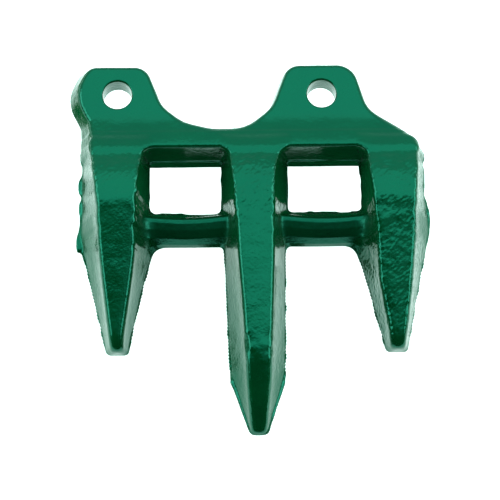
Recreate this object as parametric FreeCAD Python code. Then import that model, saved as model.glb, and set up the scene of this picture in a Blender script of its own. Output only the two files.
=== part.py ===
"""Three-finger knife guard for a sickle cutter bar: one steel forging, cut here into its named regions.

Frame: the origin is midway between the two bolt holes, on the face that seats against the bar.
+Z points out of the keel side, where the bolt heads go. +Y points to the rear, over the bar.
The fingers point along -Y. Lengths are in millimetres.
"""
import FreeCAD, Part
import math
import os

# --- driving dimensions -------------------------------------------------------------------------
FINGER_PITCH = 50.8          # centre to centre, 2 inch
BOLT_SPACING = 76.2          # centre to centre, 3 inch
BOLT_HOLE_D = 11.0           # clearance for an M10 or 3/8 inch guard bolt
CENTRE_FINGER_X = 12.7       # the left finger is then in line with the left bolt

EAR_TOP_Z = 9.5              # thickness of the ears above the seat
LEDGER_Z = -2.0              # plane that the knife sections slide on, and the forging's parting plane
SPLIT_Y = -14.5              # the ears end and the rear bar begins
SHOULDER_Y = -15.0           # rear face of the shoulder that the cutter bar butts against
WINDOW_REAR_Y = -22.7        # rear wall of the two windows
SHOULDER_Z = -9.5            # lowest face of the shoulder
SHOULDER_CHAMFER = 1.2
BAR_TOP_Z = 13.2             # top of the rear bar at the windows

BRIDGE_REAR_Y = -43.4        # front wall of the two windows
BRIDGE_FRONT_Y = -56.2
BRIDGE_CREST_Z = 5.4
WEB_TOP_Z = 0.2              # top of the thin web that rounds the corners in front of a bridge

CREST_ROUNDING = 1.3         # radius along the edges of a finger's crest
FLANK_RUN_ON = 1.5           # how far a finger is drawn past the ledger before it is cut flat
THROAT_END_Y = -107.4        # the knife slot ends here and the solid point begins
THROAT_HEIGHT = 6.0          # room between the ledger and the lip
LIP_REAR_Y = -60.0
LIP_THICKNESS = 5.8
TIP_Y = -127.1               # foremost point of the centre finger

TOOTH_PITCH = 1.3            # serrations along the two shear edges of a finger
TOOTH_DEPTH = 0.45
TOOTH_HEIGHT = 1.1
OUTER_TEETH = (-63.0, -91.0)     # stretch of the finger that is serrated
CENTRE_TEETH = (-59.0, -103.0)

# Plan of each ear at its top face, from its rear corner nearest the scoop round to the rear bar:
# x, y, corner radius, then how far the corner has moved out at the seat, in x and in y.
LEFT_EAR_PLAN = [
    (-27.2, 11.2, 6.0, 1.2, 0.9),
    (-47.6, 11.2, 3.0, -3.8, 0.9),
    (-53.8, 0.7, 13.9, -4.1, 0.2),
    (-48.6, -10.2, 3.0, -3.8, -0.2),
    (-48.4, SPLIT_Y, 0.0, -3.8, 0.0),
]
RIGHT_EAR_PLAN = [
    (26.4, 11.4, 6.0, -1.5, 0.9),
    (49.4, 11.4, 8.0, 1.2, 0.9),
    (53.4, -6.6, 8.0, 1.6, 0.7),
    (66.9, SPLIT_Y, 0.0, 1.8, 0.0),
]
# Half of the scoop between the ears, from the middle out: x, y, corner radius, move in x and in y.
LEFT_SCOOP_PLAN = [
    (-3.0, -13.8, 14.0, 0.2, 0.7),
    (-13.5, -11.4, 14.0, 0.4, 0.7),
    (-22.3, -4.8, 8.0, 1.2, 0.7),
]
RIGHT_SCOOP_PLAN = [
    (9.0, -13.8, 14.0, 0.0, 0.7),
    (20.0, -5.2, 14.0, -1.2, 0.7),
]
SCOOP_BOTTOM_Y = -13.8

# Outer finger: station y, half width outboard, half width inboard, half width of the crest, crest z.
OUTER_STATIONS = [
    (WINDOW_REAR_Y, 13.7, 12.1, 9.4, BAR_TOP_Z),
    (-29.0, 13.3, 11.6, 9.2, 17.3),
    (-42.0, 13.3, 11.8, 7.9, 17.5),
    (-47.0, 14.3, 13.0, 7.6, 16.6),
    (-52.0, 14.4, 13.8, 7.2, 15.6),
    (-62.0, 12.1, 12.1, 6.7, 13.5),
    (-83.0, 7.1, 7.1, 4.2, 9.2),
    (-92.0, 4.9, 4.9, 2.9, 7.3),
    (-95.8, 3.9, 3.9, 2.3, 4.3),
    (-97.2, 2.5, 2.5, 1.8, 1.5),
]
# Centre finger: station y, half width of the base, half width of the crest, crest z.
CENTRE_STATIONS = [
    (WINDOW_REAR_Y, 12.8, 10.0, BAR_TOP_Z),
    (-29.5, 12.6, 8.6, 17.0),
    (-36.0, 12.4, 8.0, 17.2),
    (-55.0, 11.7, 7.0, 16.2),
    (-95.0, 10.7, 4.9, 12.0),
    (-104.0, 10.3, 4.5, 10.0),
    (THROAT_END_Y, 9.9, 4.3, 9.2),
    (-118.3, 5.9, 3.5, 5.0),
    (-124.2, 3.8, 2.7, 2.2),
    (TIP_Y, 2.1, 1.6, -0.4),
]
# Underside of the centre finger's point: station y, half width at the parting plane, lowest z.
NOSE_STATIONS = [
    (THROAT_END_Y, 9.9, -13.8),
    (-112.0, 8.2, -12.6),
    (-118.3, 5.9, -9.6),
    (-124.2, 3.8, -5.6),
    (TIP_Y, 2.1, -3.0),
]
NOSE_DRAFT = 0.55            # share of the width that is left at the lowest z
LIP_HALF_FRONT = 5.4         # half widths of the lip over the ledger
LIP_HALF_REAR = 3.6
LIP_LEAD_IN = 8.0            # length over which the lip's rear end thins out
LIP_DRAFT = 0.8              # as NOSE_DRAFT, for the lip


def vec(x, y, z=0.0):
    return FreeCAD.Vector(x, y, z)


def finger_x(number):
    """Centre line of a finger: -1 is the left one, 0 the centre one and 1 the right one."""
    return CENTRE_FINGER_X + number * FINGER_PITCH


def rounded(corners):
    """Closed wire through the corners, each given as a point and the radius of its rounding."""
    edges = []
    ends = []
    count = len(corners)
    for i, (point, radius) in enumerate(corners):
        before = (corners[i - 1][0] - point).normalize()
        after = (corners[(i + 1) % count][0] - point).normalize()
        half = before.getAngle(after) / 2
        reach = radius / math.tan(half) if radius else 0.0
        start, end = point + before * reach, point + after * reach
        ends.append((start, end))
        if radius:
            middle = point + (before + after).normalize() * (radius / math.sin(half) - radius)
            edges.append(Part.Arc(start, middle, end).toShape())
    lines = [Part.makeLine(ends[i][1], ends[(i + 1) % count][0]) for i in range(count)]
    return Part.Wire(Part.__sortEdges__(edges + lines))


def polygon(points):
    return Part.makePolygon(list(points) + [points[0]])


def loft(wires):
    """Solid with straight rulings from each wire to the next."""
    return Part.makeLoft(wires, True, True)


def ear_plan(ear, scoop, share, z):
    """Outline of one ear and its half of the scoop at height z; share 0 is its top face, 1 the seat."""
    rows = [(0.0, SCOOP_BOTTOM_Y, 0.0, 0.0, 0.7), *scoop, *ear, (0.0, SPLIT_Y, 0.0, 0.0, 0.0)]
    return rounded([(vec(x + share * dx, y + share * dy, z), r) for x, y, r, dx, dy in rows])


def make_ear(side):
    """Bolting ear: a pad round its hole, leaning out from the top face down to the seat."""
    ear, scoop = (LEFT_EAR_PLAN, LEFT_SCOOP_PLAN) if side < 0 else (RIGHT_EAR_PLAN, RIGHT_SCOOP_PLAN)
    body = loft([ear_plan(ear, scoop, 1.0, 0.0), ear_plan(ear, scoop, 0.0, EAR_TOP_Z)])
    hole = Part.makeCylinder(
        BOLT_HOLE_D / 2, 3 * EAR_TOP_Z, vec(side * BOLT_SPACING / 2, 0, -EAR_TOP_Z)
    )
    return body.cut(hole)


def bar_plan(lean, z):
    """Plan of the rear bar at height z, with the sloping shoulder on its right."""
    left = finger_x(-1) - 10.6 - lean
    right = finger_x(1) + 9.7 + lean
    return polygon([
        vec(left, SPLIT_Y, z),
        vec(left, WINDOW_REAR_Y, z),
        vec(right, WINDOW_REAR_Y, z),
        vec(right - 1.2, SPLIT_Y - 4.4, z),
        vec(right - 5.6, SPLIT_Y, z),
    ])


def make_rear_bar():
    """Bar along the rear of the windows. It stands below the seat, where the cutter bar butts on it."""
    low, nick = SHOULDER_Z, SHOULDER_CHAMFER
    outline = [
        (SPLIT_Y, EAR_TOP_Z),
        (-18.5, 12.2),
        (-21.4, BAR_TOP_Z),
        (WINDOW_REAR_Y, BAR_TOP_Z),
        (WINDOW_REAR_Y, low + nick),
        (WINDOW_REAR_Y + nick, low),
        (SHOULDER_Y - nick, low),
        (SHOULDER_Y, low + nick),
        (SHOULDER_Y, 0.0),
        (SPLIT_Y, 0.0),
    ]
    start, length = 2 * finger_x(-1), 5 * FINGER_PITCH
    bar = Part.Face(polygon([vec(start, y, z) for y, z in outline])).extrude(vec(length, 0, 0))
    above = loft([bar_plan(3.6, LEDGER_Z), bar_plan(0.0, BAR_TOP_Z)])
    below = loft([bar_plan(2.6, SHOULDER_Z), bar_plan(3.6, LEDGER_Z)])
    return bar.common(above.fuse(below)).removeSplitter()


def section(x, y, left, right, crest, top):
    """Cross-section of a finger with leaning flanks and a rounded crest.

    It runs on below the ledger plane along the same flanks, so that the ledger can be cut flat.
    """
    rounding = min(CREST_ROUNDING, 0.6 * crest)
    more = FLANK_RUN_ON / (top - LEDGER_Z)
    low = LEDGER_Z - FLANK_RUN_ON
    return rounded([
        (vec(x - left - more * (left - crest), y, low), 0.0),
        (vec(x + right + more * (right - crest), y, low), 0.0),
        (vec(x + crest, y, top), rounding),
        (vec(x - crest, y, top), rounding),
    ])


def finger_body(sections):
    """Loft through the sections, cut flat along the ledger plane."""
    body = loft(sections)
    box = body.BoundBox
    below = Part.makeBox(
        box.XLength + 2, box.YLength + 2, 2 * FLANK_RUN_ON,
        vec(box.XMin - 1, box.YMin - 1, LEDGER_Z - 2 * FLANK_RUN_ON),
    )
    return body.cut(below)


def make_outer_finger(side):
    """Short blunt finger with a flat keel that falls away to its point."""
    sections = []
    for y, outboard, inboard, crest, top in OUTER_STATIONS:
        left, right = (outboard, inboard) if side < 0 else (inboard, outboard)
        sections.append(section(finger_x(side), y, left, right, crest, top))
    return finger_body(sections)


def centre_body(stations):
    """Part of the centre finger above the ledger plane, through the given stations."""
    x = finger_x(0)
    return finger_body([section(x, y, base, base, crest, top) for y, base, crest, top in stations])


def make_centre_finger():
    """Long finger back from its point. The knife sections slide on its flat underside."""
    return centre_body([row for row in CENTRE_STATIONS if row[0] >= THROAT_END_Y])


def serrate(finger, number, base, stretch):
    """Cut a row of V teeth up both shear edges. base gives the half width at each station."""
    first, last = stretch
    x = finger_x(number)
    teeth = []
    for i in range(int((first - last) / TOOTH_PITCH)):
        y = first - (i + 0.5) * TOOTH_PITCH
        half = half_width(base, y)
        teeth += [tooth(x - half, y, -1), tooth(x + half, y, 1)]
    return finger.cut(Part.makeCompound(teeth))


def half_width(base, y):
    """Half width at y, between the stations on either side of it. The stations run forward."""
    for (y0, w0), (y1, w1) in zip(base, base[1:]):
        if y1 <= y <= y0:
            return w0 + (w1 - w0) * (y0 - y) / (y0 - y1)
    raise ValueError(f"no station reaches y = {y}")


def tooth(x, y, side):
    """One V-shaped notch with its deepest line square to the shear edge."""
    half = 0.45 * TOOTH_PITCH
    profile = polygon([
        vec(x - side * TOOTH_DEPTH, y, LEDGER_Z - 1),
        vec(x + side, y - half * (1 + 1 / TOOTH_DEPTH), LEDGER_Z - 1),
        vec(x + side, y + half * (1 + 1 / TOOTH_DEPTH), LEDGER_Z - 1),
    ])
    return Part.Face(profile).extrude(vec(0, 0, 1 + TOOTH_HEIGHT))


def keel_section(x, y, half, high, low, share):
    """Cross-section below the parting plane: half wide at its top, narrowing to a share of that."""
    return polygon([
        vec(x + half, y, high),
        vec(x - half, y, high),
        vec(x - half * share, y, low),
        vec(x + half * share, y, low),
    ])


def make_centre_point():
    """Solid point of the centre finger, above and below the parting plane."""
    x = finger_x(0)
    upper = centre_body([row for row in CENTRE_STATIONS if row[0] <= THROAT_END_Y])
    lower = loft([
        keel_section(x, y, half, LEDGER_Z, low, NOSE_DRAFT) for y, half, low in NOSE_STATIONS
    ])
    return upper.fuse(lower).removeSplitter()


def make_knife_lip():
    """Lip that reaches back from the point and holds the knife down on the ledger."""
    top = LEDGER_Z - THROAT_HEIGHT
    stations = (
        (THROAT_END_Y, LIP_HALF_FRONT, top, top - LIP_THICKNESS),
        (LIP_REAR_Y - LIP_LEAD_IN, LIP_HALF_REAR, top, top - 0.85 * LIP_THICKNESS),
        (LIP_REAR_Y, 0.8 * LIP_HALF_REAR, top - 0.8, top - 0.5 * LIP_THICKNESS),
    )
    return loft([
        keel_section(finger_x(0), y, half, high, low, LIP_DRAFT) for y, half, high, low in stations
    ])


def make_bridge(side, fingers):
    """Tie between two neighbouring fingers: a low bar, steep at its front and rounded on top."""
    start, end = sorted((finger_x(0), finger_x(side)))
    outline = [
        (BRIDGE_REAR_Y, LEDGER_Z),
        (BRIDGE_REAR_Y, LEDGER_Z + 1),
        (BRIDGE_REAR_Y - 2.6, 3.6),
        (BRIDGE_REAR_Y - 4.8, BRIDGE_CREST_Z),
        (BRIDGE_REAR_Y - 9.2, 4.2),
        (BRIDGE_FRONT_Y + 0.9, 1.6),
        (BRIDGE_FRONT_Y, -0.6),
        (BRIDGE_FRONT_Y, LEDGER_Z),
    ]
    bar = Part.Face(polygon([vec(start, y, z) for y, z in outline])).extrude(vec(end - start, 0, 0))
    body = bar.fuse(make_web(side)).removeSplitter()
    for finger in fingers:
        body = body.cut(finger)
    return max(body.Solids, key=lambda solid: solid.Volume)


def make_web(side):
    """Thin web with hollow corners where the front of a bridge runs into its two fingers."""
    centre = finger_x(0) + side * 11.6
    outer = finger_x(side) - side * 12.9
    depth = 8.0
    mouth = Part.Face(rounded([
        (vec(centre, 3 * BRIDGE_FRONT_Y, LEDGER_Z), 0.0),
        (vec(centre, BRIDGE_FRONT_Y, LEDGER_Z), 2.3),
        (vec(outer, BRIDGE_FRONT_Y, LEDGER_Z), 6.0),
        (vec(outer + side * 26.0, 3 * BRIDGE_FRONT_Y, LEDGER_Z), 0.0),
    ]))
    block = Part.makeBox(
        FINGER_PITCH,
        depth + 2.0,
        WEB_TOP_Z - LEDGER_Z,
        vec(min(finger_x(0), finger_x(side)), BRIDGE_FRONT_Y - depth, LEDGER_Z),
    )
    return block.cut(mouth.extrude(vec(0, 0, WEB_TOP_Z - LEDGER_Z)))


def main():
    os.makedirs("parts", exist_ok=True)
    left_finger, right_finger = make_outer_finger(-1), make_outer_finger(1)
    centre_finger = make_centre_finger()
    outer_base = [(row[0], row[2]) for row in OUTER_STATIONS]
    centre_base = [(row[0], row[1]) for row in CENTRE_STATIONS]
    nodes = {
        "left_ear": make_ear(-1),
        "right_ear": make_ear(1),
        "rear_bar": make_rear_bar(),
        "left_bridge": make_bridge(-1, (left_finger, centre_finger)),
        "right_bridge": make_bridge(1, (centre_finger, right_finger)),
        "left_finger": serrate(left_finger, -1, outer_base, OUTER_TEETH),
        "centre_finger": serrate(centre_finger, 0, centre_base, CENTRE_TEETH),
        "right_finger": serrate(right_finger, 1, outer_base, OUTER_TEETH),
        "centre_point": make_centre_point(),
        "knife_lip": make_knife_lip(),
    }
    for name, shape in nodes.items():
        solids = shape.Solids
        print(f"{name}: {len(solids)} solid, valid {shape.isValid()}, {shape.Volume:.0f} mm3")
        (solids[0] if len(solids) == 1 else shape).exportStep(f"parts/{name}.step")


main()
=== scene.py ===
import math

import bmesh
import bpy
import numpy as np
from bpy.props import FloatProperty, FloatVectorProperty, PointerProperty
from bpy.types import Operator, Panel, PropertyGroup
from mathutils import Matrix, Vector


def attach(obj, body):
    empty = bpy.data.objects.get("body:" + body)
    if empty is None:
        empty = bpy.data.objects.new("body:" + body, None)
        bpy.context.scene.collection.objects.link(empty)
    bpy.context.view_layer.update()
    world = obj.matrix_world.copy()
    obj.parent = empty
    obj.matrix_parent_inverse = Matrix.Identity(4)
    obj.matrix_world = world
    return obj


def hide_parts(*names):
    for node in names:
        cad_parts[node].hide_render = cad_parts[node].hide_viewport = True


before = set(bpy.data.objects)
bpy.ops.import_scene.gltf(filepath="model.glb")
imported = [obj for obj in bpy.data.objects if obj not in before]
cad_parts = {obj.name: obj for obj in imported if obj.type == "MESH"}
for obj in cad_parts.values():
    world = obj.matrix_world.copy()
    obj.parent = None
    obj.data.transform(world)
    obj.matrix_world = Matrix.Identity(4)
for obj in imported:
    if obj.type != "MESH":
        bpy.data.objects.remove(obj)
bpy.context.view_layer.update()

bl_info = {
    "name": "Knife Guard Forge",
    "version": (1, 0, 0),
    "blender": (4, 5, 0),
    "location": "3D View > Sidebar > Guard",
    "description": "Makes a three-finger knife guard as one dipped forging, and a stage for it",
    "category": "Object",
}

MM = 0.001

# --- sizes of the forging, in millimetres unless a comment says metres ---
LEDGER = -2.0              # the knife slides on this plane, and the dies parted along it
EAR_TOP = 9.5
SHOULDER_Y = -15.0
SHOULDER_LOW = -9.8
WINDOW_REAR_Y = -22.0
THROAT_END_Y = -107.4
THROAT_TOP = -8.0
LIP_REAR_Y = -60.0
HOLE_RADIUS = 5.42             # the bolt holes less the paint in them
HOLES = ((-38.1, 0.12), (38.1, 0.12))
SIDE_TIP_Y = (-97.2, -97.1)    # ends of the left and the right finger
POINT_Y = -127.2               # end of the centre finger
MIDDLE_X = 12.7                # the fingers stand alike on each side of this plane
FINGER_REAR_Y = -20.0          # the fingers run into the rear bar up to here
SIDE_TEETH = (-62, -92)        # the serrated lengths of the outer fingers' edges, rear to front
CENTRE_TEETH = (-58, -104)
FLARE = 1.5                    # power by which a flank flares from its crest to its base
SEAM_HEIGHT = 0.7              # the trimmed seam's middle above the ledger
SEAM_HALF = 0.55               # and its half thickness
LUMP_HEIGHT = 0.6              # the middle of a lump of flash above the ledger
LIP_X = 12.9                   # middle of the lip
LIP_HALF = 5.4                 # its half width where it leaves the point
FAR_OFF = 50.0                 # a distance larger than any that matters
CUT_REACH = 0.004              # a point this near a region's cut counts as on it
BACKDROP_SIDES = 48
BACKDROP_RADIUS = 6.0          # in metres, as are its heights
BACKDROP_HEIGHTS = (-0.5, 5.0)
LOOK_AT = (0.010632, -0.05737, -0.002)  # what the camera and the lamps point at, in metres
TABLE_HALF = 12.0              # half the table's width, in metres

# A finger along its length: y, left base, left crest, right crest, right base, crest height.
LEFT_FINGER = (
    (-10, -52.3, -48.2, -28.3, -26.0, 7.0),
    (-20, -51.9, -47.9, -28.5, -26.2, 11.4),
    (-23, -51.8, -47.7, -28.6, -26.3, 13.1),
    (-26, -51.6, -47.5, -28.9, -26.5, 14.4),
    (-29, -51.9, -47.2, -29.2, -26.6, 15.6),
    (-32, -51.9, -46.8, -29.5, -26.6, 16.6),
    (-36, -51.8, -46.4, -29.9, -26.6, 17.3),
    (-43, -51.8, -45.7, -30.6, -26.3, 17.5),
    (-48, -52.3, -45.2, -31.0, -25.3, 16.4),
    (-52, -52.7, -45.0, -31.1, -24.9, 15.6),
    (-57, -51.8, -44.7, -31.3, -25.0, 14.5),
    (-62, -50.5, -44.4, -31.4, -25.9, 13.5),
    (-73, -48.1, -43.2, -32.8, -28.9, 11.3),
    (-83, -45.7, -42.1, -34.4, -31.1, 9.2),
    (-90, -44.0, -41.3, -35.5, -32.7, 7.8),
    (-93.5, -43.1, -40.9, -35.8, -33.5, 6.9),
    (-97, -42.4, -40.2, -36.0, -34.0, 4.8),
    (-99, -41.9, -39.9, -36.2, -34.2, 3.6),
)
CENTRE_FINGER = (
    (-10, 0.2, 2.6, 23.4, 25.4, 7.0),
    (-20, 0.3, 2.9, 22.9, 25.2, 11.4),
    (-23, 0.4, 3.0, 22.6, 25.2, 13.1),
    (-26, 0.4, 3.2, 21.7, 25.2, 14.4),
    (-29, 0.4, 3.4, 20.9, 25.1, 15.5),
    (-34, 0.4, 3.9, 20.1, 25.1, 16.7),
    (-43, 0.3, 4.6, 19.8, 25.1, 16.9),
    (-50, 0.5, 5.3, 19.6, 24.6, 16.5),
    (-58, 0.9, 5.7, 19.4, 24.1, 15.8),
    (-63, 0.9, 5.9, 19.3, 23.9, 15.3),
    (-77, 1.3, 7.0, 18.7, 23.7, 13.9),
    (-88, 1.5, 7.7, 18.3, 23.6, 12.8),
    (-97, 1.9, 8.2, 17.9, 23.4, 12.0),
    (-104, 2.3, 8.6, 17.5, 23.1, 10.3),
    (-107.4, 2.7, 8.7, 17.2, 22.6, 9.2),
    (-111.5, 4.4, 8.9, 16.9, 21.3, 7.6),
    (-118.3, 6.7, 9.4, 16.2, 18.8, 5.0),
    (-124, 8.7, 9.8, 15.6, 16.9, 2.4),
    (-128, 10.0, 10.4, 15.2, 15.6, 0.2),
)
RIGHT_FINGER = (
    (-10, 52.4, 53.0, 72.6, 76.4, 7.0),
    (-20, 52.3, 53.3, 72.8, 76.1, 11.4),
    (-23, 52.3, 53.5, 72.9, 76.1, 13.1),
    (-26, 52.4, 53.8, 72.8, 76.3, 14.4),
    (-29, 52.5, 54.1, 72.7, 76.4, 15.6),
    (-32, 52.5, 54.3, 72.4, 76.2, 16.6),
    (-36, 52.6, 54.6, 72.0, 76.1, 17.3),
    (-43, 52.4, 55.3, 71.5, 76.8, 17.5),
    (-48, 51.0, 55.8, 71.1, 77.7, 16.4),
    (-52, 49.8, 56.2, 70.9, 77.3, 15.6),
    (-57, 49.5, 56.5, 70.7, 76.3, 14.5),
    (-62, 50.6, 56.7, 70.3, 75.2, 13.5),
    (-73, 53.8, 57.2, 69.3, 72.7, 11.3),
    (-83, 56.0, 58.9, 68.1, 70.6, 9.2),
    (-90, 57.7, 60.2, 67.1, 69.1, 7.8),
    (-93.5, 58.6, 60.6, 66.5, 68.3, 6.9),
    (-97, 59.5, 61.1, 65.9, 67.6, 4.8),
    (-99, 60.0, 61.4, 65.6, 67.2, 3.6),
)
# Outline of the ears and the rear bar at their top: x, y, corner radius, then the lean in x and y
# from there down to the seat.
PLATE_OUTLINE = (
    (-3.0, -13.7, 14.0, 0.0, 0.5),
    (-13.5, -10.9, 14.0, 0.3, 0.6),
    (-21.7, -4.2, 11.0, 0.9, 0.6),
    (-27.6, 11.35, 6.0, 0.9, 0.9),
    (-48.4, 11.5, 4.0, -4.0, 0.8),
    (-54.0, 0.9, 13.9, -4.1, 0.4),
    (-48.6, -10.2, 3.0, -3.7, -0.2),
    (-48.2, -16.0, 0.0, -3.7, 0.0),
    (-47.2, -27.0, 0.0, -4.3, 0.0),
    (72.6, -27.0, 0.0, 3.6, 0.0),
    (72.9, -23.0, 6.0, 3.4, 0.0),
    (71.6, -18.2, 5.0, 3.2, 0.5),
    (66.9, -14.1, 8.0, 2.3, 1.1),
    (54.8, -6.0, 11.0, 1.6, 0.9),
    (49.8, 11.7, 8.0, 1.4, 0.9),
    (26.0, 11.7, 6.0, -1.7, 0.9),
    (19.7, -5.1, 14.0, -1.4, 0.6),
    (9.0, -13.7, 14.0, 0.0, 0.5),
)
# Height of the ears and of the bar along y, from the bar's front to the rear.
BAR_PROFILE = (
    (-40.0, 12.9), (-22.5, 12.9), (-20.0, 12.5), (-10.0, 9.7), (-7.0, 9.5), (20.0, 9.5),
)
# Cross-section of a bridge in y and z, and the two spans in x that the bridges cross.
BRIDGE_SECTION = (
    (-43.9, -2.6), (-44.1, -0.8), (-46.2, 4.0), (-47.3, 5.4), (-48.4, 5.3), (-50.6, 4.4),
    (-53.2, 2.6), (-55.1, 0.2), (-55.9, -1.6), (-55.9, -2.6),
)
BRIDGE_SPANS = ((-26.5, 0.5), (25.0, 52.0))
# Lumps of flash left on the seams: x, y, then half the size along x, y and z.
FLASH_LUMPS = (
    (-52.0, -32.2, 1.0, 2.9, 0.6),
    (-51.9, -41.0, 0.8, 2.4, 0.5),
    (-52.4, -54.4, 1.2, 3.6, 0.8),
    (36.4, -44.1, 6.4, 0.9, 0.6),
    (76.9, -45.5, 0.8, 3.4, 0.7),
)
# Lowest line of the point's underside: y, z.
POINT_KEEL = (
    (-128.0, -2.6), (-124.2, -5.6), (-118.3, -9.6),
    (-112.0, -12.6), (-107.4, -13.8), (-100.0, -13.8),
)

# Outlines in x and y of the dark cards of painted shade that lie under the part: they stand in for
# the shade beneath it and show only in its gloss, as a painted reflection of shade.
SHADE_CARD_OUTLINES = (
    ((-53, -34), (-13, -34), (-13, -44), (-22, -50), (-31, -98), (-44, -98), (-53, -58)),
    ((76, -34), (76, -58), (69, -98), (57, -98), (47, -50), (38.4, -44), (38.4, -34)),
    ((-53, -34.5), (76, -34.5), (76, -14), (-53, -14)),
    ((-6, -60), (31, -60), (31, -106), (20, -134), (5, -134), (-6, -106)),
    ((-28, -41), (54, -41), (54, -47), (-28, -47)),
    (
        (-95, 50), (-95, -12), (-68, -12), (-70, 0), (-75, 7),
        (-74, 14), (-65, 20), (-60, 28), (-58, 50),
    ),
    ((51, 15), (60, 15), (64, -6), (54, -6)),
    ((-28, 14), (-19, 14), (-12, -6), (-22, -6)),
)

# Regions of the forging, cut apart where the sections are simple: piece, CAD node, then the low and
# high corner of the region's box.
REGIONS = {
    "LeftEar": ("left_ear", (-60, -13.0, -18), (0, 16, 22)),
    "RightEar": ("right_ear", (0, -13.0, -18), (82, 16, 22)),
    "RearBar": ("rear_bar", (-60, -26.4, -18), (82, -13.0, 22)),
    "LeftFinger": ("left_finger", (-60, -101, -18), (-21.4, -26.4, 22)),
    "LeftBridge": ("left_bridge", (-21.4, -70, -18), (-2.6, -26.4, 22)),
    "CentreFinger": ("centre_finger", (-2.6, -108.6, -5), (28.2, -26.4, 22)),
    "KnifeLip": ("knife_lip", (-2.6, -108.6, -18), (28.2, -40, -5)),
    "CentrePoint": ("centre_point", (-2.6, -131, -18), (28.2, -108.6, 22)),
    "RightBridge": ("right_bridge", (28.2, -70, -18), (46.6, -26.4, 22)),
    "RightFinger": ("right_finger", (46.6, -101, -18), (82, -26.4, 22)),
}


def smooth_max(a, b, k):
    """Larger of a and b, with the corner between them rounded over a width k."""
    h = np.maximum(k - np.abs(a - b), 0.0) / k
    return np.maximum(a, b) + h * h * k / 4


def smooth_min(a, b, k):
    """Smaller of a and b, with a fillet of about k between them."""
    return -smooth_max(-a, -b, k)


def ease(t):
    """0 below 0, 1 above 1, and 3t^2 - 2t^3 between."""
    t = np.clip(t, 0.0, 1.0)
    return t * t * (3 - 2 * t)


def band(v, low, high, soft):
    """1 between low and high and 0 outside, with ends eased over a width soft."""
    return ease((v - low) / soft + 0.5) * ease((high - v) / soft + 0.5)


class Wander:
    """Smooth random line: random heights at whole steps, eased from each to the next."""

    def __init__(self, seed):
        self.heights = np.random.default_rng(seed).uniform(-1, 1, 512)

    def at(self, v, step):
        """Height at v, with the whole steps step apart."""
        p = (v + 300.0) / step
        i = np.floor(p).astype(int)
        t = ease(p - i)
        return self.heights[i % 512] * (1 - t) + self.heights[(i + 1) % 512] * t


class Grain:
    """Smooth random field: random values on a cubic lattice of 64 steps, eased between corners."""

    def __init__(self, seed):
        self.values = np.random.default_rng(seed).uniform(-1, 1, (64, 64, 64))

    def at(self, x, y, z, step):
        """Value at a place, with the lattice's corners step apart."""
        p = [np.asarray(v) / step for v in (x, y, z)]
        i = [np.floor(v).astype(int) for v in p]
        t = [ease(v - k) for v, k in zip(p, i)]
        total = 0.0
        for dx in (0, 1):
            for dy in (0, 1):
                for dz in (0, 1):
                    weight = 1.0
                    for d, s in zip((dx, dy, dz), t):
                        weight = weight * (s if d else 1 - s)
                    total = total + weight * self.values[
                        (i[0] + dx) % 64, (i[1] + dy) % 64, (i[2] + dz) % 64
                    ]
        return total


def round_corners(corners, degrees=7.0):
    """Points along a closed outline whose corners, given as x, y and radius, are circular arcs."""
    places = np.array([c[:2] for c in corners], float)
    points = []
    for i, corner in enumerate(corners):
        place, radius = places[i], corner[2]
        if radius == 0:
            points.append(place[None])
            continue
        before = places[i - 1] - place
        after = places[(i + 1) % len(corners)] - place
        before, after = before / np.hypot(*before), after / np.hypot(*after)
        half = np.arccos(np.clip(before @ after, -1, 1)) / 2
        middle = (before + after) / np.hypot(*(before + after))
        centre = place + middle * radius / np.sin(half)
        first = place + before * radius / np.tan(half) - centre
        last = place + after * radius / np.tan(half) - centre
        start = np.arctan2(first[1], first[0])
        sweep = (np.arctan2(last[1], last[0]) - start + np.pi) % (2 * np.pi) - np.pi
        turn = start + sweep * np.linspace(0, 1, max(3, int(abs(np.degrees(sweep)) / degrees)))
        points.append(centre + radius * np.stack([np.cos(turn), np.sin(turn)], 1))
    return np.concatenate(points)


class Outline:
    """Signed distance to a closed outline, worked out on a fine grid and read back linearly.

    The distance at a point is the least over all edges of the distance to the edge, negative where
    a ray from the point crosses the outline an odd number of times.
    """

    def __init__(self, points, low, high, step):
        self.low, self.step = np.array(low, float), step
        self.size = ((np.array(high) - self.low) / step).astype(int)
        u, v = np.meshgrid(
            *(start + step * np.arange(n) for start, n in zip(self.low, self.size)), indexing="ij"
        )
        x, y = u.ravel()[:, None], v.ravel()[:, None]
        ends = np.roll(points, -1, axis=0)
        best = np.full(len(x), 1e9)
        inside = np.zeros(len(x), bool)
        for first in range(0, len(points), 24):
            a, b = points[first:first + 24], ends[first:first + 24]
            d = b - a
            t = ((x - a[:, 0]) * d[:, 0] + (y - a[:, 1]) * d[:, 1]) / (d ** 2).sum(1).clip(1e-12)
            t = np.clip(t, 0, 1)
            away = np.hypot(x - a[:, 0] - t * d[:, 0], y - a[:, 1] - t * d[:, 1])
            best = np.minimum(best, away.min(1))
            rise = np.where(d[:, 1] == 0, 1e-12, d[:, 1])
            meets = d[:, 0] * (y - a[:, 1]) / rise + a[:, 0]
            crosses = ((a[:, 1] > y) != (b[:, 1] > y)) & (x < meets)
            inside ^= (crosses.sum(1) % 2).astype(bool)
        self.map = np.where(inside, -best, best).reshape(u.shape)

    def at(self, u, v):
        """Distance at u and v, growing on beyond the grid's edge."""
        p = [(w - start) / self.step for w, start in zip((u, v), self.low)]
        over = sum(np.maximum(-q, 0) + np.maximum(q - n + 1, 0) for q, n in zip(p, self.size))
        p = [np.clip(q, 0, n - 1.001) for q, n in zip(p, self.size)]
        (i, j), (s, t) = (q.astype(int) for q in p), (q - q.astype(int) for q in p)
        m = self.map
        return (m[i, j] * (1 - s) + m[i + 1, j] * s) * (1 - t) + (
            m[i, j + 1] * (1 - s) + m[i + 1, j + 1] * s
        ) * t + over * self.step


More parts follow.
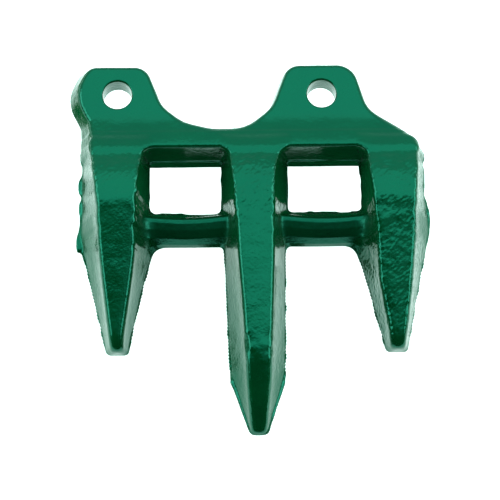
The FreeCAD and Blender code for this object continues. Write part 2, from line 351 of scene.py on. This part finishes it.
class Track:
    """Widths and heights of a finger along y, softened so that no station shows as a crease."""

    def __init__(self, stations, soften=1.2, step=0.25):
        stations = np.array(stations, float)[::-1]
        self.y = np.arange(stations[0, 0], stations[-1, 0] + step, step)
        reach = int(4 * soften / step)
        weights = np.exp(-0.5 * (np.arange(-reach, reach + 1) * step / soften) ** 2)
        weights /= weights.sum()
        rows = [np.interp(self.y, stations[:, 0], row) for row in stations[:, 1:].T]
        self.rows = [np.convolve(np.pad(row, reach, mode="edge"), weights, "valid") for row in rows]

    def at(self, y):
        """Each width or height of the stations at y."""
        return [np.interp(y, self.y, row) for row in self.rows]


class Forging:
    """The whole guard as one field: negative inside the steel, and about a distance near its skin.

    Each part of the shape is the largest of the distances to its bounding faces, and the parts are
    joined by their smallest, both smoothed, so edges are rounded and roots are filleted as on a
    forging that has been dipped in thick paint.
    """

    def __init__(self, settings):
        self.skin = settings.skin_depth / MM
        self.flash = settings.flash / MM
        self.tooth = settings.tooth_depth / MM
        self.pitch = settings.tooth_pitch / MM
        self.tracks = [Track(rows) for rows in (LEFT_FINGER, CENTRE_FINGER, RIGHT_FINGER)]
        self.top, self.seat = (
            Outline(
                round_corners([(x + s * dx, y + s * dy, r) for x, y, r, dx, dy in PLATE_OUTLINE]),
                (-64, -34), (86, 18), 0.25,
            )
            for s in (0.0, 1.0)
        )
        self.bridge = Outline(np.array(BRIDGE_SECTION), (-72, -14), (-32, 24), 0.1)
        self.bar = Track(BAR_PROFILE[::-1], soften=1.7)
        self.keel_y, self.keel_z = np.array(POINT_KEEL).T
        self.wander = [Wander(seed) for seed in range(11, 19)]
        self.grain = Grain(7)

    def seam(self, z):
        """How near z is to the line where the dies parted: 1 on it, fading within a millimetre."""
        return np.exp(-(((z - LEDGER - SEAM_HEIGHT) / SEAM_HALF) ** 2))

    def finger(self, x, y, z, number, tip_y, teeth):
        """Flanks that flare from crest to base, under a slightly crowned crest.

        A flank lies at crest + (base - crest) * t^FLARE, where t runs from 0 at the crest to 1 at
        the ledger. It carries the trimmed seam, and teeth along the shear edge between the two
        teeth limits.
        """
        left_base, left_crest, right_crest, right_base, top = self.tracks[number].at(y)
        height = top - LEDGER
        t = np.clip((top - z) / height, 0.0, 1.4)
        slope = FLARE * np.clip(t, 0.05, 1.4) ** (FLARE - 1) / height
        saw = np.abs((y / self.pitch) % 1.0 * 2 - 1)
        near_edge = ease((LEDGER + 1.9 - z) / 0.6)
        bite = self.tooth * (1 - saw) * band(y, teeth[1], teeth[0], 3.0) * near_edge
        faces = []
        for side, base, crest in ((-1, left_base, left_crest), (1, right_base, right_crest)):
            line = self.wander[2 * number + (side > 0)]
            seam = self.seam(z) * self.flash * (1 + line.at(y, 3.1))
            depth = 0.42 if number == 0 and side > 0 else 0.16
            ragged = depth * line.at(y, 1.9) * band(y, -60, -26, 6)
            flank = crest + ragged * (1 - t) + (base - crest) * t ** FLARE + side * (seam - bite)
            faces.append(side * (x - flank) / np.sqrt(1 + ((base - crest) * slope) ** 2))
        f = smooth_max(*faces, 0.5)
        across = (x - (left_crest + right_crest) / 2) / (right_crest - left_crest) * 2
        f = smooth_max(f, (z - top + 0.35 * across ** 2 - 0.1) * 0.97, 2.0)
        return smooth_max(f, tip_y - y, 1.9)

    def plate(self, x, y, z):
        """Ears and rear bar: the outline leans from top to seat, under a height that rises along y.

        Below the seat only the shoulder is left, and the front is the rear wall of the windows.
        """
        share = np.where(z < 0, 1.0, np.clip((EAR_TOP - z) / EAR_TOP, -0.5, 1.0))
        top, seat = self.top.at(x, y), self.seat.at(x, y)
        side = (top + (seat - top) * share) * 0.95 - self.flash * self.seam(z) * (y < SHOULDER_Y)
        height = self.bar.at(y)[0]
        f = smooth_max(side, (z - height) * 0.96, 1.7)
        above = smooth_max(f, -z, 0.7)
        undercut = np.maximum(LEDGER - z, 0) * 0.13
        below = smooth_max(smooth_max(f + undercut, SHOULDER_LOW - z, 1.6), y - SHOULDER_Y, 1.0)
        f = smooth_min(above, below, 0.6)
        lean = np.where(z > LEDGER, (13.0 - z) * 0.047, 0.7 - (LEDGER - z) * 0.03)
        seam = self.seam(z) * (0.4 + 0.2 * self.wander[6].at(x, 2.7))
        f = smooth_max(f, WINDOW_REAR_Y - lean - seam - y, 1.6)
        for hole_x, hole_y in HOLES:
            f = smooth_max(f, HOLE_RADIUS - np.hypot(x - hole_x, y - hole_y), 0.8)
        return f

    def bridges(self, x, y, z):
        """One section carried along x across each window, bowed forward in the middle."""
        f = FAR_OFF
        for number, (start, end) in enumerate(BRIDGE_SPANS):
            along = np.clip((x - start) / (end - start) * 2 - 1, -1, 1)
            bow = 0.9 * (1 - along ** 2) * np.clip((z - LEDGER) / 5, 0, 1)
            line = self.wander[7].at(x + 90 * number, 2.3)
            ledge = 0.7 * self.seam(z) * (0.5 + 0.6 * line) * (y > -47)
            g = self.bridge.at(y + bow - ledge, z)
            f = np.minimum(f, smooth_max(g, np.maximum(start - 6 - x, x - end - 6), 0.5) - 0.5)
        return f

    def lumps(self, x, y, z):
        """Short bars of flash that the trimming left.

        The skin is where the cubes of the distances from the middle, each over its half size, sum
        to 1.
        """
        f = FAR_OFF
        for cx, cy, rx, ry, rz in FLASH_LUMPS:
            far = np.abs((x - cx) / rx) ** 3 + np.abs((y - cy) / ry) ** 3
            far = (far + np.abs((z - LEDGER - LUMP_HEIGHT) / rz) ** 3) ** (1 / 3)
            f = np.minimum(f, (far - 1) * min(rx, ry, rz))
        return f

    def point_and_lip(self, x, y, z):
        """Keel of the solid point, narrowing downwards, and the lip that runs back from it."""
        left, _, _, right, _ = self.tracks[1].at(y)
        low = np.interp(y, self.keel_y, self.keel_z)
        t = np.clip((LEDGER - z) / (LEDGER - low).clip(1.0), 0.0, 1.2)
        f = (np.abs(x - (left + right) / 2) - (right - left) / 2 * (1 - 0.45 * t ** 1.2)) * 0.93
        f = smooth_max(f, (low - z) * 0.9, 2.2)
        f = smooth_max(f, POINT_Y + 0.1 - y, 2.6)
        f = smooth_max(f, y - THROAT_END_Y, 1.2)
        f = smooth_max(f, z - LEDGER - 1.0, 0.5)
        back = np.clip((y - THROAT_END_Y) / (LIP_REAR_Y - THROAT_END_Y), -0.2, 1.0)
        lead_in = np.clip((back - 0.83) / 0.17, 0, 1)
        half = (LIP_HALF - 2.2 * back) * (1 - 0.2 * np.clip((THROAT_TOP - z) / 6, 0, 1))
        g = np.abs(x - LIP_X) - half
        g = smooth_max(g, z - THROAT_TOP + 0.8 * lead_in, 1.6)
        g = smooth_max(g, np.interp(back, (0, 0.83, 1.0), (-13.8, -12.9, -11.0)) - z, 2.0)
        g = smooth_max(g, y - LIP_REAR_Y, 3.0)
        g = smooth_max(g, THROAT_END_Y - 4 - y, 1.0)
        return smooth_min(f, g, 2.4)

    def rough(self, x, y, z):
        """Depth of the forged and painted skin: coarse lumps, dents and finer peel.

        They are strongest where the crests were left rough.
        """
        u, v = 0.8 * x - 0.6 * y, 0.6 * x + 0.8 * y
        peel = self.grain.at(1.35 * u, 0.75 * v, z, 0.95) + self.grain.at(u + 31, v, z, 2.0) * 0.8
        lumps = self.grain.at(u, v + 17, z, 5.5)
        patch = ease(0.5 + 0.9 * self.grain.at(x + 11, y, z, 13.0))
        right_crest = band(x, 52, 76, 6) * band(y, -92, -27, 7)
        centre_crest = band(x, 4, 20, 5) * band(y, -50, -26, 8)
        left_crest = band(x, -48, -28, 6) * band(y, -42, -24, 6)
        tip = band(x, 6, 19, 3) * band(y, -104, -92, 3) * ease((z - 9.0) / 2.0)
        where = 0.12 + 0.2 * patch + 0.65 * right_crest + 0.9 * centre_crest + 0.4 * left_crest
        root = 1.3 * band(x, 52, 76, 6) * band(y, -56, -24, 9) + 1.0 * centre_crest
        lumps = lumps * (0.5 + 3.0 * tip + root)
        dents = self.grain.at(u + 5, v, z, 3.0) * (2.4 * tip + 0.8 * root)
        return self.skin * (where * peel + lumps + dents)

    def smooth(self, x, y, z):
        """The forging without its rough skin."""
        up = smooth_min(
            self.finger(x, y, z, 0, SIDE_TIP_Y[0], SIDE_TEETH),
            self.finger(x, y, z, 1, POINT_Y, CENTRE_TEETH),
            0.5,
        )
        up = smooth_min(up, self.finger(x, y, z, 2, SIDE_TIP_Y[1], SIDE_TEETH), 0.5)
        up = smooth_max(up, y - FINGER_REAR_Y, 1.0)
        inward = np.where(x < MIDDLE_X, x, 2 * MIDDLE_X - x)
        fillet = 1.9 + 2.6 * np.clip((-6.0 - inward) / 10.0, 0, 1) * ease((-46 - y) / 4)
        up = smooth_min(up, self.bridges(x, y, z), fillet)
        up = smooth_min(up, self.lumps(x, y, z), 1.1)
        up = smooth_max(up, LEDGER - z, 0.5)
        f = smooth_min(up, self.plate(x, y, z), 2.0 + 2.4 * ease((z - 8.0) / 4.0))
        return smooth_min(f, self.point_and_lip(x, y, z), 0.8)

    def at(self, x, y, z):
        """The forging with its skin, which stands out by its depth."""
        return self.smooth(x, y, z) - self.rough(x, y, z)


def gradient(field, places, step=0.02):
    """Slope of a field along x, y and z, from its values a little to each side."""
    slope = np.empty_like(places)
    for axis in range(3):
        offset = np.zeros(3)
        offset[axis] = step
        slope[:, axis] = (field(*(places + offset).T) - field(*(places - offset).T)) / (2 * step)
    return slope


def skin_of(field, low, high, cell):
    """Closed quads over the surface where the field is 0, inside a box.

    Space is divided into cubes. Each cube that the surface crosses gets one point, the mean of the
    places where it crosses the cube's edges, and each lattice edge that it crosses gets one quad
    through the points of the four cubes around that edge. The points are then moved along the
    slope on to the surface. The lattice is the same for all boxes, so neighbouring boxes agree. It
    stands a quarter of a cube off the round sizes, so that no cut runs along a row of points. Its
    outermost layer counts as outside, which closes the skin beyond the box.
    """
    axes = [
        (np.arange(math.floor(a / cell) - 2, math.ceil(b / cell) + 3) + 0.25) * cell
        for a, b in zip(low, high)
    ]
    values = np.stack([
        field(*np.meshgrid(axes[0][i:i + 1], axes[1], axes[2], indexing="ij"))[0]
        for i in range(len(axes[0]))
    ])
    for axis in range(3):
        for end in (0, -1):
            values[(slice(None),) * axis + (end,)] = cell
    inside = values < 0
    halves = (slice(0, -1), slice(1, None))
    around = sum(inside[i, j, k].astype(int) for i in halves for j in halves for k in halves)
    cubes = np.nonzero((around > 0) & (around < 8))
    number = np.full(around.shape, -1)
    number[cubes] = np.arange(len(cubes[0]))
    total = np.zeros((len(cubes[0]), 3))
    hits = np.zeros(len(cubes[0]))
    for axis in range(3):
        others = [a for a in range(3) if a != axis]
        for u in (0, 1):
            for v in (0, 1):
                near = [cubes[0], cubes[1], cubes[2]]
                near[others[0]] = near[others[0]] + u
                near[others[1]] = near[others[1]] + v
                far = list(near)
                far[axis] = far[axis] + 1
                a, b = values[tuple(near)], values[tuple(far)]
                crossed = (a < 0) != (b < 0)
                share = np.where(crossed, a / np.where(crossed, a - b, 1.0), 0.0)
                spot = np.stack([axes[d][near[d]] for d in range(3)], 1)
                spot[:, axis] += share * cell
                total += spot * crossed[:, None]
                hits += crossed
    places = total / hits[:, None]
    quads = []
    for axis in range(3):
        one, two = (axis + 1) % 3, (axis + 2) % 3
        low_end = [slice(1, -1)] * 3
        high_end = [slice(1, -1)] * 3
        low_end[axis], high_end[axis] = slice(0, -1), slice(1, None)
        start = inside[tuple(low_end)]
        edges = list(np.nonzero(start != inside[tuple(high_end)]))
        turn = start[tuple(edges)][:, None]
        edges[one] = edges[one] + 1
        edges[two] = edges[two] + 1

        def cube(back_one, back_two):
            spot = list(edges)
            spot[one] = spot[one] - back_one
            spot[two] = spot[two] - back_two
            return number[tuple(spot)]

        quad = np.stack([cube(1, 1), cube(0, 1), cube(0, 0), cube(1, 0)], 1)
        quads.append(np.where(turn, quad, quad[:, ::-1]))
    slope = gradient(field, places)
    move = np.clip(field(*places.T) / (slope ** 2).sum(1).clip(0.25), -0.5 * cell, 0.5 * cell)
    return places - slope * move[:, None], np.concatenate(quads)


def forge(name, forging, cell):
    """Makes one region of the forging: its skin, cut off at the region's box and closed there."""
    node, low, high = REGIONS[name]
    places, quads = skin_of(forging.at, low, high, cell)
    mesh = bpy.data.meshes.new(name)
    mesh.from_pydata(places, [], quads)
    solid = bmesh.new()
    solid.from_mesh(mesh)
    for axis in range(3):
        for corner, sign in ((low, -1), (high, 1)):
            point, normal = Vector((0, 0, 0)), Vector((0, 0, 0))
            point[axis], normal[axis] = corner[axis], sign
            cut = bmesh.ops.bisect_plane(
                solid, geom=solid.verts[:] + solid.edges[:] + solid.faces[:],
                plane_co=point, plane_no=normal, clear_outer=True, dist=CUT_REACH,
            )
            rim = [
                e for e in cut["geom_cut"] if isinstance(e, bmesh.types.BMEdge) and e.is_boundary
            ]
            if rim:
                caps = bmesh.ops.holes_fill(solid, edges=rim, sides=0)["faces"]
                bmesh.ops.triangulate(solid, faces=caps)
    solid.to_mesh(mesh)
    solid.free()
    count = len(mesh.vertices)
    spots = np.empty(count * 3, np.float32)
    mesh.vertices.foreach_get("co", spots)
    spots = spots.reshape(-1, 3).astype(float)
    slope = gradient(forging.at, spots)
    slope /= np.linalg.norm(slope, axis=1, keepdims=True)
    corner_of = np.empty(len(mesh.loops), np.int32)
    mesh.loops.foreach_get("vertex_index", corner_of)
    sizes = np.empty(len(mesh.polygons), np.int32)
    mesh.polygons.foreach_get("loop_total", sizes)
    flat = np.empty(len(mesh.polygons) * 3, np.float32)
    mesh.polygons.foreach_get("normal", flat)
    flat = np.repeat(flat.reshape(-1, 3), sizes, axis=0)
    normals = slope[corner_of]
    at_cut = np.zeros(count, bool)
    for axis in range(3):
        for limit in (low[axis], high[axis]):
            at_cut |= np.abs(spots[:, axis] - limit) < 1e-4
    starts = np.r_[0, np.cumsum(sizes)[:-1]]
    on_cap = np.repeat(np.logical_and.reduceat(at_cut[corner_of], starts), sizes)
    on_cap &= np.abs(np.abs(flat).max(axis=1) - 1) < 1e-5
    normals[on_cap] = flat[on_cap]
    mesh.vertices.foreach_set("co", (spots * MM).astype(np.float32).ravel())
    mesh.polygons.foreach_set("use_smooth", np.ones(len(mesh.polygons), bool))
    mesh.normals_split_custom_set(normals.tolist())
    mesh.update()
    piece = bpy.data.objects.new(name, mesh)
    bpy.context.scene.collection.objects.link(piece)
    mesh.materials.append(dipped_enamel())
    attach(piece, "root")
    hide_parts(node)
    return piece


# --- materials ---
class Socket:
    """A node's output that can be used in sums: each operator adds the Math node that does it."""

    def __init__(self, shader, link):
        self.shader, self.link = shader, link

    def _math(self, operation, other, swap=False):
        values = {int(swap): self.link, 1 - int(swap): other}
        return self.shader.node("ShaderNodeMath", {"operation": operation}, values)

    def __add__(self, other):
        return self._math("ADD", other)

    __radd__ = __add__

    def __sub__(self, other):
        return self._math("SUBTRACT", other)

    def __rsub__(self, other):
        return self._math("SUBTRACT", other, swap=True)

    def __mul__(self, other):
        return self._math("MULTIPLY", other)

    __rmul__ = __mul__


class Shader:
    """The node tree of a material or of the world, emptied, with one method that adds any node."""

    def __init__(self, owner):
        owner.use_nodes = True
        self.owner, self.tree = owner, owner.node_tree
        self.tree.nodes.clear()

    def node(self, kind, settings=None, sockets=None, output=0):
        """Adds a node, its settings, then its sockets' values or links. Returns one output."""
        node = self.tree.nodes.new(kind)
        for key, value in (settings or {}).items():
            setattr(node, key, value)
        for key, value in (sockets or {}).items():
            value = value.link if isinstance(value, Socket) else value
            if isinstance(value, bpy.types.NodeSocket):
                self.tree.links.new(value, node.inputs[key])
            else:
                node.inputs[key].default_value = value
        return None if output is None else Socket(self, node.outputs[output])

    def fade(self, value, start, end):
        """Goes from 0 at start to 1 at end with level ends."""
        return self.node(
            "ShaderNodeMapRange", {"interpolation_type": "SMOOTHSTEP"},
            {"Value": value, "From Min": start, "From Max": end},
        )

    def finish(self, surface):
        """Leads the last output to the Surface, and returns the material or the world."""
        kind = "World" if isinstance(self.owner, bpy.types.World) else "Material"
        self.node("ShaderNodeOutput" + kind, {}, {"Surface": surface}, output=None)
        return self.owner


def dipped_enamel():
    """Thick green enamel: a deep colour with darker patches, fine orange peel, a tinted gloss that
    whitens at a low angle, and a duller gloss where the paint pooled round the bridges.
    """
    name = "DippedGreenEnamel"
    if name in bpy.data.materials:
        return bpy.data.materials[name]
    paint = bpy.context.scene.guard_paint
    sh = Shader(bpy.data.materials.new(name))
    place = sh.node("ShaderNodeTexCoord", output="Object")

    def noise(scale, detail):
        sockets = {"Vector": place, "Scale": scale, "Detail": detail}
        return sh.node("ShaderNodeTexNoise", {}, sockets)

    cloud = noise(90.0, 3.0)
    peel, fine, swell = noise(1000.0, 2.0), noise(2600.0, 1.0), noise(190.0, 1.0)
    deep = tuple(0.6 * c for c in paint.colour) + (1.0,)
    colour = sh.node(
        "ShaderNodeMix", {"data_type": "RGBA"},
        {"Factor": cloud, "A": deep, "B": tuple(paint.colour) + (1.0,)}, output=2,
    )
    along = sh.node("ShaderNodeSeparateXYZ", {}, {"Vector": place}, output=1)
    height = sh.node("ShaderNodeSeparateXYZ", {}, {"Vector": place}, output=2)
    pooled = sh.fade(along, -0.057, -0.052) * sh.fade(along, -0.0455, -0.0475)
    pooled = pooled * sh.fade(height, 0.011, 0.008)
    rough = paint.gloss_roughness * (0.6 + 0.8 * cloud) + paint.pooled_dulling * pooled
    bump = sh.node("ShaderNodeBump", {}, {
        "Strength": paint.peel, "Distance": 0.00025, "Height": peel + 0.3 * fine + 2.2 * swell,
    })
    surface = sh.node("ShaderNodeBsdfPrincipled", {}, {
        "Base Color": colour,
        "Roughness": rough,
        "Normal": bump,
        "IOR": 1.5,
        "Specular IOR Level": paint.gloss_level,
        "Specular Tint": tuple(paint.gloss_tint) + (1.0,),
    })
    return sh.finish(surface)


def pale_table():
    """Matt white table that also glows a little, so that it stays pale under the soft lamps."""
    sh = Shader(bpy.data.materials.new("PaleTable"))
    place = sh.node("ShaderNodeTexCoord", output="Object")
    cloud = sh.node("ShaderNodeTexNoise", {}, {"Vector": place, "Scale": 6.0, "Detail": 2.0})
    surface = sh.node("ShaderNodeBsdfPrincipled", {}, {
        "Base Color": sh.node(
            "ShaderNodeMix", {"data_type": "RGBA"},
            {"Factor": cloud, "A": (0.48, 0.48, 0.48, 1), "B": (0.52, 0.52, 0.52, 1)}, output=2,
        ),
        "Roughness": 0.9,
        "Specular IOR Level": 0.1,
        "Emission Color": (0.82, 1.0, 0.94, 1.0),
        "Emission Strength": bpy.context.scene.guard_stage.table_glow,
    })
    return sh.finish(surface)


# --- settings ---
class GUARD_PG_forging(PropertyGroup):
    """Sizes of the forging's skin, seam and teeth"""

    cell: FloatProperty(
        name="Cell", description="Size of the mesh's quads",
        default=0.0004, unit="LENGTH", min=0.0002
    )
    skin_depth: FloatProperty(
        name="Skin", description="Depth of the rough forged skin", default=0.00009, unit="LENGTH"
    )
    flash: FloatProperty(
        name="Flash", description="How far the trimmed seam stands out",
        default=0.00028, unit="LENGTH"
    )
    tooth_depth: FloatProperty(
        name="Teeth", description="Depth of the serrations on the shear edges",
        default=0.0004, unit="LENGTH"
    )
    tooth_pitch: FloatProperty(
        name="Pitch", description="Length of one serration", default=0.0013, unit="LENGTH"
    )


class GUARD_PG_paint(PropertyGroup):
    """Colour and finish of the enamel"""

    colour: FloatVectorProperty(
        name="Colour", description="Body colour of the enamel", subtype="COLOR", size=3,
        default=(0.0001, 0.029, 0.0074), min=0.0, max=1.0,
    )
    gloss_tint: FloatVectorProperty(
        name="Gloss tint", description="Colour of the gloss seen square on",
        subtype="COLOR", size=3,
        default=(0.07, 1.0, 0.68), min=0.0, max=1.0,
    )
    gloss_level: FloatProperty(
        name="Gloss level", description="Strength of the gloss",
        default=0.6, min=0.0, max=1.0, subtype="FACTOR"
    )
    gloss_roughness: FloatProperty(
        name="Roughness", description="Blur of the gloss",
        default=0.16, min=0.0, max=1.0, subtype="FACTOR"
    )
    pooled_dulling: FloatProperty(
        name="Pooled dulling",
        description="Roughness added where the paint pooled round the bridges",
        default=0.2, min=0.0, max=1.0,
    )
    peel: FloatProperty(
        name="Peel", description="Depth of the fine orange peel",
        default=0.3, min=0.0, max=1.0, subtype="FACTOR"
    )


class GUARD_PG_stage(PropertyGroup):
    """Table, lamps, surroundings and camera"""

    table_z: FloatProperty(
        name="Table height", description="Height of the table's top",
        default=-0.0144, unit="LENGTH"
    )
    table_glow: FloatProperty(
        name="Table glow", description="Light that the table gives off by itself",
        default=1.3, min=0.0
    )
    overhead: FloatProperty(
        name="Overhead", description="Power of the lamp overhead",
        default=2.2, min=0.0, unit="POWER"
    )
    rims: FloatProperty(
        name="Rims", description="Power of each lamp that lines the crests' edges",
        default=3.4, min=0.0,
        unit="POWER",
    )
    fill: FloatProperty(
        name="Fill", description="Power of the weak lamp at the front right",
        default=0.13, min=0.0, unit="POWER"
    )
    tent: FloatProperty(
        name="Tent", description="Brightness of the tent behind the part",
        default=2.1, min=0.0
    )
    front: FloatProperty(
        name="Front", description="Brightness in front of the part",
        default=0.03, min=0.0
    )
    sides: FloatProperty(
        name="Sides", description="Power of each lamp at the sides",
        default=6.0, min=0.0, unit="POWER"
    )
    azimuth: FloatProperty(
        name="Azimuth", description="Turn of the camera round the part", subtype="ANGLE",
        default=math.radians(-4.343),
    )
    elevation: FloatProperty(
        name="Elevation", description="Height of the camera above the horizon", subtype="ANGLE",
        default=math.radians(72.875),
    )
    roll: FloatProperty(
        name="Roll", description="Turn of the camera about its line of sight", subtype="ANGLE",
        default=math.radians(3.564),
    )
    distance: FloatProperty(
        name="Distance", description="From the camera to the point it looks at", default=0.7209,
        unit="LENGTH",
    )
    lens: FloatProperty(name="Lens", description="Focal length in millimetres", default=140.27)


# --- operators ---
class ForgeOperator:
    """Shared by the operators that make regions of the forging."""

    bl_options = {"REGISTER", "UNDO"}
    pieces = ()

    def execute(self, context):
        settings = context.scene.guard_forging
        cell = settings.cell / MM * 1.0
        forging = Forging(settings)
        for name in self.pieces:
            forge(name, forging, cell)
        return {"FINISHED"}


class GUARD_OT_ears(ForgeOperator, Operator):
    """Forge the two bolting ears, each with its hole"""

    bl_idname = "guard.ears"
    bl_label = "Ears"
    pieces = ("LeftEar", "RightEar")


class GUARD_OT_rear_bar(ForgeOperator, Operator):
    """Forge the bar along the rear of the windows, with its shoulder"""

    bl_idname = "guard.rear_bar"
    bl_label = "Rear bar"
    pieces = ("RearBar",)


class GUARD_OT_fingers(ForgeOperator, Operator):
    """Forge the two short outer fingers and the long one between them"""

    bl_idname = "guard.fingers"
    bl_label = "Fingers"
    pieces = ("LeftFinger", "CentreFinger", "RightFinger")


class GUARD_OT_bridges(ForgeOperator, Operator):
    """Forge the two bridges that tie the fingers together"""

    bl_idname = "guard.bridges"
    bl_label = "Bridges"
    pieces = ("LeftBridge", "RightBridge")


class GUARD_OT_point(ForgeOperator, Operator):
    """Forge the solid point of the centre finger and the lip that runs back from it"""

    bl_idname = "guard.point"
    bl_label = "Point and lip"
    pieces = ("CentrePoint", "KnifeLip")


def aim(obj, target):
    """Turns a lamp at its place so that it shines at target."""
    obj.rotation_euler = (Vector(target) - obj.location).to_track_quat("-Z", "Y").to_euler()


def lamp(name, place, target, size, power, colour=(1.0, 1.0, 1.0)):
    """A soft rectangular lamp that shines at target."""
    data = bpy.data.lights.new(name, "AREA")
    data.shape = "RECTANGLE"
    data.size, data.size_y = size
    data.energy = power
    data.color = colour
    obj = bpy.data.objects.new(name, data)
    obj.location = place
    bpy.context.scene.collection.objects.link(obj)
    aim(obj, target)
    return obj


class GUARD_OT_stage(Operator):
    """Set the table, the soft lamps, the surroundings and the camera"""

    bl_idname = "guard.stage"
    bl_label = "Stage"
    bl_options = {"REGISTER", "UNDO"}

    def execute(self, context):
        scene, stage = context.scene, context.scene.guard_stage
        scene.view_settings.view_transform = "Standard"
        mesh = bpy.data.meshes.new("Table")
        corners = ((-1, -1), (1, -1), (1, 1), (-1, 1))
        mesh.from_pydata(
            [(x * TABLE_HALF, y * TABLE_HALF, stage.table_z) for x, y in corners], [], [(0, 1, 2, 3)]
        )
        mesh.materials.append(pale_table())
        table = bpy.data.objects.new("Table", mesh)
        scene.collection.objects.link(table)
        hang_backdrop()
        target = Vector(LOOK_AT)
        # painted shade: dark sheets under the part that only its gloss shows
        lay_painted_shade_cards(stage)
        lamp("Overhead", (0.03, 0.2, 0.62), target, (1.1, 0.56), stage.overhead, (0.9, 1.0, 0.98))
        for name, x in (("LeftSide", -0.62), ("RightSide", 0.64)):
            side = lamp(name, (x, -0.1, 0.16), target, (0.4, 0.3), stage.sides)
            side.visible_glossy = False
            rim = lamp(name + "Rim", (x, 0.02, 0.42), target, (0.6, 0.34), stage.rims)
            rim.visible_diffuse = False
        lamp("RightFill", (0.19, -0.2, 0.62), (0.08, -0.1, 0.0), (0.26, 0.3), stage.fill)
        scene.world = surroundings(stage)
        place_camera(scene, stage, target)
        return {"FINISHED"}


def hang_backdrop():
    """White wall that hides the tent from the camera: two heights carried round a circle."""
    sh = Shader(bpy.data.materials.new("Backdrop"))
    glow = sh.node("ShaderNodeEmission", {}, {"Color": (1.0, 1.0, 1.0, 1), "Strength": 1.2})
    material = sh.finish(glow)
    first = np.arange(BACKDROP_SIDES)
    then = (first + 1) % BACKDROP_SIDES
    turn = 2 * np.pi * first / BACKDROP_SIDES
    ring = BACKDROP_RADIUS * np.stack([np.cos(turn), np.sin(turn)], 1)
    places = np.concatenate([np.c_[ring, np.full(len(ring), z)] for z in BACKDROP_HEIGHTS])
    quads = np.stack([then, first, first + BACKDROP_SIDES, then + BACKDROP_SIDES], 1)
    mesh = bpy.data.meshes.new("Backdrop")
    mesh.from_pydata(places.tolist(), [], quads.tolist())
    mesh.materials.append(material)
    wall = bpy.data.objects.new("Backdrop", mesh)
    wall.visible_glossy = wall.visible_diffuse = wall.visible_shadow = False
    bpy.context.scene.collection.objects.link(wall)


def lay_painted_shade_cards(stage):
    """Dark cards of painted shade close under the part: sheets that stand in for the shade beneath
    it and show only in the gloss of its steep faces, as a painted reflection.
    """
    sh = Shader(bpy.data.materials.new("DarkCard"))
    # painted shade: a dark green sheet standing in for the shade under the part, seen only in
    # reflections
    dark = sh.node("ShaderNodeBsdfDiffuse", {}, {"Color": (0.0, 0.16, 0.05, 1)})
    material = sh.finish(dark)
    for number, outline in enumerate(SHADE_CARD_OUTLINES):
        mesh = bpy.data.meshes.new(f"DarkCard{number}")
        height = stage.table_z + 0.0003 + 0.00005 * number
        mesh.from_pydata([(x * MM, y * MM, height) for x, y in outline], [], [range(len(outline))])
        mesh.materials.append(material)
        card = bpy.data.objects.new(f"DarkCard{number}", mesh)
        card.visible_camera = card.visible_diffuse = card.visible_shadow = False
        bpy.context.scene.collection.objects.link(card)


def surroundings(stage):
    """A tent that is bright behind the part, fades to each side, and is dark in front of it."""
    sh = Shader(bpy.data.worlds.new("Surroundings"))
    way = sh.node("ShaderNodeTexCoord")
    across = sh.node("ShaderNodeSeparateXYZ", {}, {"Vector": way}, output=0)
    along = sh.node("ShaderNodeSeparateXYZ", {}, {"Vector": way}, output=1)
    ramp = sh.node("ShaderNodeMapRange", {"interpolation_type": "SMOOTHSTEP"}, {
        "Value": along, "From Min": -0.16, "From Max": 0.1,
        "To Min": stage.front, "To Max": stage.tent,
    })
    strength = ramp * (1.0 - 0.75 * across * across) * (1.0 - 0.3 * along * along)
    glow = {"Color": (0.45, 1.0, 0.9, 1), "Strength": strength}
    return sh.finish(sh.node("ShaderNodeBackground", {}, glow))


def place_camera(scene, stage, target):
    """Puts the camera at its distance from target, along azimuth and elevation, then rolls it."""
    a, e, r = stage.azimuth, stage.elevation, stage.roll
    back = Vector((math.sin(a) * math.cos(e), -math.cos(a) * math.cos(e), math.sin(e)))
    right = Vector((0, 0, 1)).cross(back).normalized()
    up = back.cross(right)
    right, up = right * math.cos(r) + up * math.sin(r), up * math.cos(r) - right * math.sin(r)
    data = bpy.data.cameras.new("Camera")
    data.lens = stage.lens
    data.clip_start = 0.01
    camera = bpy.data.objects.new("Camera", data)
    scene.collection.objects.link(camera)
    turn = Matrix((right, up, back)).transposed().to_4x4()
    camera.matrix_world = Matrix.Translation(target + back * stage.distance) @ turn
    scene.camera = camera


class GUARD_PT_panel(Panel):
    """Lists the steps and their settings"""

    bl_idname = "GUARD_PT_panel"
    bl_label = "Knife guard"
    bl_space_type = "VIEW_3D"
    bl_region_type = "UI"
    bl_category = "Guard"

    def draw(self, context):
        for name in ("guard_forging", "guard_paint", "guard_stage"):
            box = self.layout.box()
            settings = getattr(context.scene, name)
            for key in settings.__annotations__:
                box.prop(settings, key)
        for step in STEPS:
            self.layout.operator(step.bl_idname)


STEPS = (
    GUARD_OT_stage, GUARD_OT_ears, GUARD_OT_rear_bar,
    GUARD_OT_fingers, GUARD_OT_bridges, GUARD_OT_point,
)
CLASSES = (GUARD_PG_forging, GUARD_PG_paint, GUARD_PG_stage, *STEPS, GUARD_PT_panel)


def register():
    for cls in CLASSES:
        bpy.utils.register_class(cls)
    bpy.types.Scene.guard_forging = PointerProperty(type=GUARD_PG_forging)
    bpy.types.Scene.guard_paint = PointerProperty(type=GUARD_PG_paint)
    bpy.types.Scene.guard_stage = PointerProperty(type=GUARD_PG_stage)


def unregister():
    for name in ("guard_forging", "guard_paint", "guard_stage"):
        delattr(bpy.types.Scene, name)
    for cls in reversed(CLASSES):
        bpy.utils.unregister_class(cls)


def main():
    """Makes the stage and every piece."""
    register()
    for step in STEPS:
        getattr(bpy.ops.guard, step.bl_idname.split(".")[1])()


if __name__ == "__main__":
    main()
